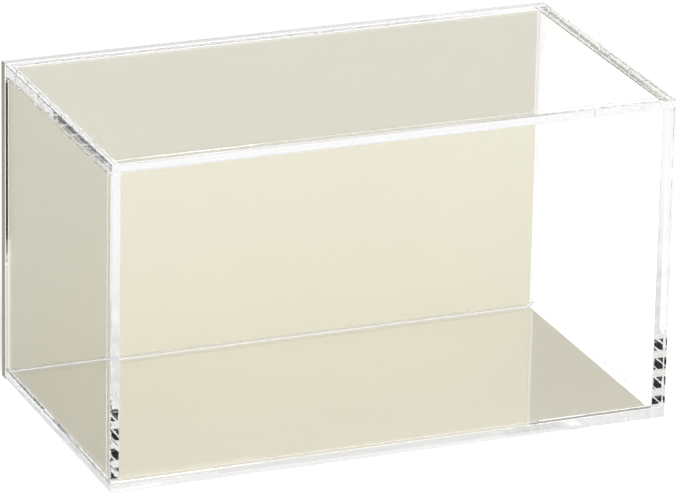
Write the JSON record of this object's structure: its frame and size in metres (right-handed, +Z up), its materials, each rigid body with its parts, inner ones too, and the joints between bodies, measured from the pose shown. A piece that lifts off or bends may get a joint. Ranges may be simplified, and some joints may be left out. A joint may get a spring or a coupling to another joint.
{
  "type": "display case",
  "caption": "Clear acrylic display case: a box of cemented clear sheets with an ivory sheet under its floor, closed at the rear by a loose clear back with a warm-white lining.",
  "frame": {"origin": "centre of the underside, on the surface the case stands on", "axes": "+X to the right as seen from the front, -Y out of the clear front, +Z up"},
  "size_m": [0.25, 0.138, 0.143],
  "materials": {
    "clear_acrylic": "clear, polished edges",
    "white_lining": "opaque satin",
    "ivory_floor": "opaque satin, seen through the base plate"
  },
  "bodies": {
    "box": {"floor_sheet": "ivory_floor", "base_plate": "clear_acrylic", "front_panel": "clear_acrylic", "left_panel": "clear_acrylic", "right_panel": "clear_acrylic", "top_panel": "clear_acrylic"},
    "back": {"back_panel": "clear_acrylic", "back_lining": "white_lining"}
  },
  "joints": [
    {"name": "back_pull", "type": "slide", "parent": "box", "child": "back", "axis": [0, 1, 0], "range_m": [0, 0.1]}
  ]
}
